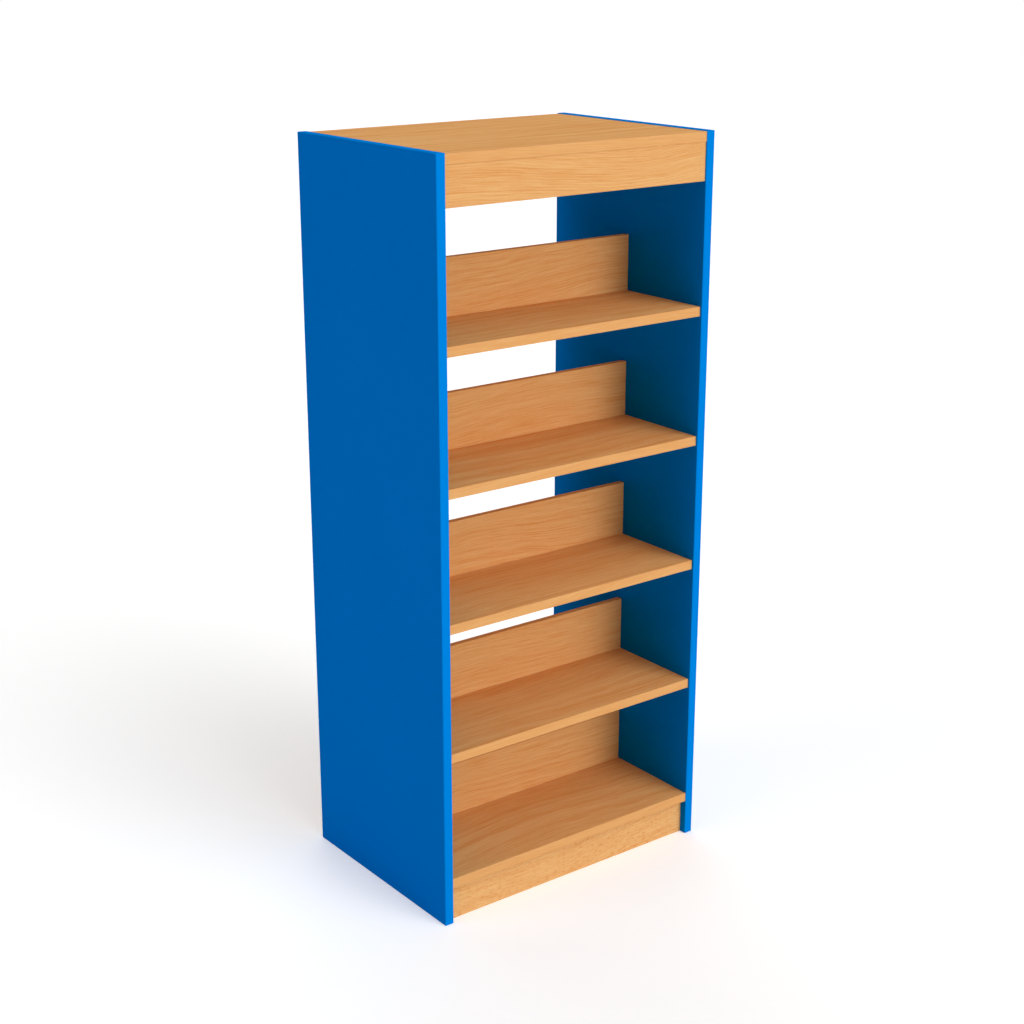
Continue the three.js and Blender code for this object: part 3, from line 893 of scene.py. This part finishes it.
class SHELVING_OT_fixed_boards(bpy.types.Operator):
    """Model the top and the base with lippings and dowels, bored for connectors, rails and screws"""

    bl_idname = "shelving.fixed_boards"
    bl_label = "Top and Base"

    def execute(self, context):
        for node in ("top_panel", "base_panel"):
            low, high = board_box(node)
            core = board_core(f"{node}_board", low, high, (FRONT, REAR))
            add_dowels(core, node)
            rails = [rail for rail in RAILS if RAIL_BOARD[rail.split("_")[0]] == node]
            cutters = dowel_bores(rails, UP, low.z) + self.connector_bores(context, node)
            if node == "base_panel":
                cutters += screw_holes(node, "base_stop")
            combine(core, cutters, "DIFFERENCE")
            combine(core, self.bolt_bores(node), "DIFFERENCE")
            smooth(core)
            settle_beech(core, node, "beech_broad", stands_for=True)
            for face, side in zip(FACES, (FRONT, REAR)):
                strip = lipping_strip(f"{node}_lipping_{face}", low, high, side)
                settle_beech(strip, node, "beech_lipping")
        return {"FINISHED"}

    def connector_bores(self, context, node):
        """Cutters for the cams, from the underside."""
        play = context.scene.shelving_fittings.play
        cutters = []
        for corner in CORNERS:
            low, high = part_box(f"cam_{node.split('_')[0]}_{corner}")
            middle = (low + high) / 2
            mouth = Vector((middle.x, middle.y, low.z))
            cutters.append(bore(mouth, UP, high.z - low.z + play, (high.x - low.x) / 2))
        return cutters

    def bolt_bores(self, node):
        """Cutters for the connector bolts, from the ends. They meet the cams' bores."""
        board = node.split("_")[0]
        cutters = []
        for corner in CORNERS:
            bolt_low, bolt_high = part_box(f"cam_bolt_{board}_{corner}")
            outward = ACROSS if "right" in corner else -ACROSS
            end = board_box(node)[1].x
            cam = middle_of(f"cam_{board}_{corner}")
            bolt = (bolt_low + bolt_high) / 2
            mouth = Vector((end * outward.x, bolt.y, bolt.z))
            depth = abs(mouth.x - cam.x)
            cutters.append(bore(mouth, -outward, depth, (bolt_high.z - bolt_low.z) / 2))
        return cutters


class SHELVING_OT_shelves(bpy.types.Operator):
    """Model a loose shelf, grooved over its pegs, and copy it to every level"""

    bl_idname = "shelving.shelves"
    bl_label = "Shelves"

    def execute(self, context):
        home = SHELF_NAMES[0]
        low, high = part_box(home)
        core = board_core("shelf_board", low, high, (FRONT, REAR))
        combine(core, self.grooves(context, low) + screw_holes(home, "shelf_stop_1"), "DIFFERENCE")
        smooth(core)
        strips = [lipping_strip(f"shelf_lipping_{face}", low, high, side)
                  for face, side in zip(FACES, (FRONT, REAR))]
        for node in SHELF_NAMES:
            board = copy_of(core, f"{node}_board", home, node)
            settle_beech(board, node, "beech_broad", stands_for=True)
            for face, strip in zip(FACES, strips):
                lipping = copy_of(strip, f"{node}_lipping_{face}", home, node)
                settle_beech(lipping, node, "beech_lipping")
        pick(core, *strips)
        bpy.ops.object.delete()
        return {"FINISHED"}

    def grooves(self, context, board_low):
        """Round topped cutters over the pegs, open below and at the shelf's ends."""
        boards = context.scene.shelving_boards
        fittings = context.scene.shelving_fittings
        cutters = []
        for corner in CORNERS:
            low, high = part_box(f"shelf_peg_1_{corner}")
            middle = (low + high) / 2
            run = ACROSS * boards.groove_run
            start = Vector((low.x, middle.y, middle.z)) - run
            end = Vector((high.x, middle.y, middle.z)) + run
            groove = rod("groove", start, end, (high.z - low.z) / 2 + fittings.play,
                         fittings.round_steps)
            edit(groove)
            choose_points(groove, lambda place: place.z < middle.z - TOUCH)
            bpy.ops.transform.translate(value=DOWN * (middle.z - board_low.z + OVERCUT))
            leave_edit()
            cutters.append(groove)
        return cutters


class SHELVING_OT_book_stops(bpy.types.Operator):
    """Model a book stop with its top lipping and screw bores, and copy it to every board"""

    bl_idname = "shelving.book_stops"
    bl_label = "Book Stops"

    def execute(self, context):
        home = STOP_NAMES[0]
        low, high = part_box(home)
        core = board_core("stop_board", low, high, (UP,))
        combine(core, self.screw_bores(context, home), "DIFFERENCE")
        smooth(core)
        strip = lipping_strip("stop_lipping", low, high, UP)
        for node in STOP_NAMES:
            board = copy_of(core, f"{node}_board", home, node)
            settle_beech(board, node, "beech_facing", stands_for=True)
            lipping = copy_of(strip, f"{node}_lipping", home, node)
            settle_beech(lipping, node, "beech_lipping")
        pick(core, strip)
        bpy.ops.object.delete()
        return {"FINISHED"}

    def screw_bores(self, context, stop):
        """Cutters for a stop's screws, from its foot."""
        fittings = context.scene.shelving_fittings
        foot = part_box(stop)[0].z
        cutters = []
        for side in SIDES:
            screw = f"{stop}_screw_{side}"
            mouth = Vector((middle_of(screw).x, 0, foot))
            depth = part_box(screw)[1].z - foot + fittings.play
            cutters.append(bore(mouth, UP, depth, fittings.screw_thread / 2))
        return cutters


class SHELVING_OT_rails(bpy.types.Operator):
    """Model the fascias under the top and the plinths under the base, with their dowels"""

    bl_idname = "shelving.rails"
    bl_label = "Fascias and Plinths"

    def execute(self, context):
        for node in RAILS:
            sides = (DOWN,) if node.startswith("fascia") else ()
            low, high = board_box(node)
            core = board_core(f"{node}_board", low, high, sides)
            add_dowels(core, node)
            smooth(core)
            settle_beech(core, node, "beech_facing" if sides else "beech_flecked", stands_for=True)
            for side in sides:
                strip = lipping_strip(f"{node}_lipping", low, high, side)
                settle_beech(strip, node, "beech_lipping")
        return {"FINISHED"}


class SHELVING_OT_pegs(bpy.types.Operator):
    """Turn a shelf peg with rounded ends and put it in every peg bore"""

    bl_idname = "shelving.pegs"
    bl_label = "Shelf Pegs"

    def execute(self, context):
        fittings = context.scene.shelving_fittings
        nodes = [f"{shelf.replace('shelf', 'shelf_peg')}_{corner}"
                 for shelf in SHELF_NAMES for corner in CORNERS]
        home = nodes[0]
        low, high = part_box(home)
        length = high.x - low.x
        radius = (high.z - low.z) / 2
        peg = turned("peg", [(0, radius), (length, radius)], fittings.round_steps)
        edit(peg)
        choose_edges(peg, lambda start, end: abs(start.z - end.z) < TOUCH)
        bevel(fittings.edge, context.scene.shelving_boards.rounding_steps)
        leave_edit()
        smooth(peg)
        put(peg, Vector((low.x, middle_of(home).y, middle_of(home).z)), LAID)
        fit_everywhere(peg, home, nodes, "bright_steel")
        return {"FINISHED"}


class SHELVING_OT_connectors(bpy.types.Operator):
    """Model a connector's bolt and cam, and put a pair in every corner of the top and base"""

    bl_idname = "shelving.connectors"
    bl_label = "Cam Connectors"

    def execute(self, context):
        corners = [f"{board}_{corner}" for board in ("base", "top") for corner in CORNERS]
        bolts = [f"cam_bolt_{corner}" for corner in corners]
        cams = [f"cam_{corner}" for corner in corners]
        bolt = self.bolt(context, bolts[0], cams[0])
        fit_everywhere(bolt, bolts[0], bolts, "bright_steel")
        cam = self.cam(context, bolts[0], cams[0])
        fit_everywhere(cam, cams[0], cams, "cast_zinc")
        return {"FINISHED"}

    def bolt(self, context, home, cam):
        """The bolt, turned upright with the end panel's face at zero and then laid in place."""
        fittings = context.scene.shelving_fittings
        gap = context.scene.shelving_boards.joint_gap
        low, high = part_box(home)
        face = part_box("end_panel_left")[1].x
        edge = fittings.edge
        thread = fittings.bolt_thread / 2
        core = thread * THREAD_CORE
        collar = (high.z - low.z) / 2
        shank = fittings.bolt_shank / 2
        neck = fittings.bolt_neck / 2
        head = fittings.bolt_head / 2
        tip = low.x - face
        end = high.x - face
        neck_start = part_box(cam)[0].x - face - edge
        collar_end = gap + fittings.bolt_flange
        head_start = end - fittings.bolt_flange
        bolt = turned("bolt", [
            (tip, core - edge), (tip + edge, core), (gap, core), (gap, collar),
            (collar_end, collar), (collar_end, shank), (neck_start - edge, shank),
            (neck_start, neck), (head_start, neck), (head_start, head), (end - edge, head),
            (end, head - edge),
        ], fittings.round_steps)
        wind_thread(bolt, tip + edge, gap - fittings.thread_pitch / 2, thread, core)
        smooth(bolt)
        put(bolt, Vector((face, middle_of(home).y, middle_of(home).z)), LAID)
        return bolt

    def cam(self, context, bolt, home):
        """The cam, with a pocket for the bolt's head and a slot for its neck."""
        fittings = context.scene.shelving_fittings
        low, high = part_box(home)
        height = high.z - low.z
        radius = (high.x - low.x) / 2
        edge = fittings.edge / 2
        cam = turned("cam", [
            (0, radius - edge), (edge, radius), (height - edge, radius), (height, radius - edge),
        ], 2 * fittings.round_steps)
        cut_cross(cam, 2 * radius)
        axis = middle_of(bolt).z - low.z
        half = fittings.bolt_flange / 2 + fittings.play
        pocket = rod("pocket", Vector((-half, 0, axis)), Vector((half, 0, axis)),
                     fittings.bolt_head / 2 + fittings.play, fittings.round_steps)
        combine(cam, [pocket], "DIFFERENCE")
        slot = bore(Vector((-radius, 0, axis)), ACROSS, radius, fittings.bolt_neck / 2)
        combine(cam, [slot], "DIFFERENCE")
        smooth(cam)
        put(cam, Vector((middle_of(home).x, middle_of(home).y, low.z)))
        return cam


class SHELVING_OT_screws(bpy.types.Operator):
    """Model a countersunk screw and drive it under both ends of every book stop"""

    bl_idname = "shelving.screws"
    bl_label = "Stop Screws"

    def execute(self, context):
        fittings = context.scene.shelving_fittings
        nodes = [f"{stop}_screw_{side}" for stop in STOP_NAMES for side in SIDES]
        home = nodes[0]
        low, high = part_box(home)
        length = high.z - low.z
        land = fittings.play / 2
        head = (high.x - low.x) / 2 - land
        shank = fittings.screw_shank / 2
        thread = fittings.screw_thread / 2
        core = thread * THREAD_CORE
        cone_end = land + head - shank
        thread_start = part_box("base_stop")[0].z - low.z
        tip_start = length - fittings.screw_tip
        screw = turned("screw", [
            (0, head - land), (land, head), (cone_end, shank), (thread_start - shank, shank),
            (thread_start - core, core), (tip_start, core), (length, POINT_RADIUS),
        ], fittings.round_steps)
        wind_thread(screw, thread_start, tip_start, thread, core)
        cut_cross(screw, 2 * head)
        merge_points(screw)
        smooth(screw)
        put(screw, Vector((middle_of(home).x, middle_of(home).y, low.z)))
        fit_everywhere(screw, home, nodes, "bright_steel")
        return {"FINISHED"}


class SHELVING_OT_stage(bpy.types.Operator):
    """Set up the white floor, the light and the camera"""

    bl_idname = "shelving.stage"
    bl_label = "Stage"

    def execute(self, context):
        self.add_floor(context)
        self.light_surround(context)
        self.place_camera(context)
        context.scene.view_settings.view_transform = "Standard"
        return {"FINISHED"}

    def seen_directly(self, tree):
        """One for a ray that shows the background itself or its reflection, else none."""
        path = add_node(tree, "ShaderNodeLightPath").outputs
        mirrored = math_node(tree, "MAXIMUM", path["Is Glossy Ray"], path["Is Transmission Ray"])
        return math_node(tree, "MAXIMUM", path["Is Camera Ray"], mirrored)

    def add_floor(self, context):
        """A wide white floor that keeps the shadow and throws plain light back on to the unit."""
        stage = context.scene.shelving_stage
        bpy.ops.object.select_all(action="DESELECT")
        bpy.ops.mesh.primitive_plane_add(size=FLOOR_SIZE, location=(0, 0, cad_low.z))
        floor = new_piece("studio_floor")
        material = bpy.data.materials.new("studio_floor")
        material.use_nodes = True
        tree = material.node_tree
        tree.nodes.clear()
        bounce = add_node(tree, "ShaderNodeBsdfDiffuse", {"Color": opaque([FLOOR_BOUNCE] * 3)})
        shaded = add_node(tree, "ShaderNodeBsdfDiffuse", {"Color": opaque([stage.floor_shade] * 3)})
        glow = add_node(tree, "ShaderNodeEmission", {"Strength": stage.floor_glow})
        shown = add_node(tree, "ShaderNodeAddShader", {0: shaded.outputs[0], 1: glow.outputs[0]})
        mixed = add_node(tree, "ShaderNodeMixShader", {
            0: self.seen_directly(tree), 1: bounce.outputs[0], 2: shown.outputs[0]})
        add_node(tree, "ShaderNodeOutputMaterial", {"Surface": mixed.outputs[0]})
        floor.data.materials.append(material)

    def soft_light(self, tree, turn, rise, focus, strength):
        """Brightness that is greatest in one direction and fades evenly round it."""
        flat = math.cos(math.radians(rise))
        direction = Vector((
            flat * math.sin(math.radians(turn)), -flat * math.cos(math.radians(turn)),
            math.sin(math.radians(rise))))
        way = add_node(tree, "ShaderNodeTexCoord").outputs["Generated"]
        facing = add_node(
            tree, "ShaderNodeVectorMath", {0: way, 1: direction}, operation="DOT_PRODUCT")
        facing = math_node(tree, "MAXIMUM", facing.outputs["Value"], 0.0)
        return math_node(tree, "MULTIPLY", math_node(tree, "POWER", facing, focus), strength)

    def light_surround(self, context):
        """A world that lights the unit softly and looks white itself."""
        stage = context.scene.shelving_stage
        world = bpy.data.worlds.new("studio")
        context.scene.world = world
        world.use_nodes = True
        tree = world.node_tree
        tree.nodes.clear()
        level = 0.0
        for turn, rise, focus, brightness in SOFT_LIGHTS:
            light = self.soft_light(tree, turn, rise, focus, brightness * stage.light_level)
            level = math_node(tree, "ADD", level, light)
        light = add_node(tree, "ShaderNodeBackground", {"Color": (1, 1, 1, 1), "Strength": level})
        white = add_node(tree, "ShaderNodeBackground", {"Color": (1, 1, 1, 1), "Strength": 1.0})
        mixed = add_node(tree, "ShaderNodeMixShader", {
            0: self.seen_directly(tree), 1: light.outputs[0], 2: white.outputs[0]})
        add_node(tree, "ShaderNodeOutputWorld", {"Surface": mixed.outputs[0]})

    def place_camera(self, context):
        stage = context.scene.shelving_stage
        turn = (math.radians(90) - stage.camera_dip, 0, -stage.camera_turn)
        bpy.ops.object.camera_add(location=stage.camera_place, rotation=turn)
        camera = context.object
        camera.data.lens = stage.lens
        context.scene.camera = camera


class SHELVING_PT_sidebar(bpy.types.Panel):
    """Sizes, finishes and steps of the shelving unit"""

    bl_label = "Library Shelving"
    bl_idname = "SHELVING_PT_sidebar"
    bl_space_type = "VIEW_3D"
    bl_region_type = "UI"
    bl_category = "Shelving"

    def draw(self, context):
        scene = context.scene
        for settings_name, group in SETTINGS.items():
            box = self.layout.box()
            for name in group.__annotations__:
                box.prop(getattr(scene, settings_name), name)
        for operator in OPERATORS:
            self.layout.operator(operator.bl_idname)


OPERATORS = (
    SHELVING_OT_end_panels,
    SHELVING_OT_fixed_boards,
    SHELVING_OT_shelves,
    SHELVING_OT_book_stops,
    SHELVING_OT_rails,
    SHELVING_OT_pegs,
    SHELVING_OT_connectors,
    SHELVING_OT_screws,
    SHELVING_OT_stage,
)
SETTINGS = {
    "shelving_boards": ShelvingBoards,
    "shelving_fittings": ShelvingFittings,
    "shelving_finishes": ShelvingFinishes,
    "shelving_stage": ShelvingStage,
}


def register():
    for group in SETTINGS.values():
        bpy.utils.register_class(group)
    for operator in OPERATORS:
        bpy.utils.register_class(operator)
    bpy.utils.register_class(SHELVING_PT_sidebar)
    for name, group in SETTINGS.items():
        setattr(bpy.types.Scene, name, PointerProperty(type=group))


def unregister():
    for name in SETTINGS:
        delattr(bpy.types.Scene, name)
    bpy.utils.unregister_class(SHELVING_PT_sidebar)
    for operator in reversed(OPERATORS):
        bpy.utils.unregister_class(operator)
    for group in SETTINGS.values():
        bpy.utils.unregister_class(group)


def main():
    register()
    bpy.ops.shelving.end_panels()
    bpy.ops.shelving.fixed_boards()
    bpy.ops.shelving.shelves()
    bpy.ops.shelving.book_stops()
    bpy.ops.shelving.rails()
    bpy.ops.shelving.pegs()
    bpy.ops.shelving.connectors()
    bpy.ops.shelving.screws()
    bpy.ops.shelving.stage()


if __name__ == "__main__":
    main()
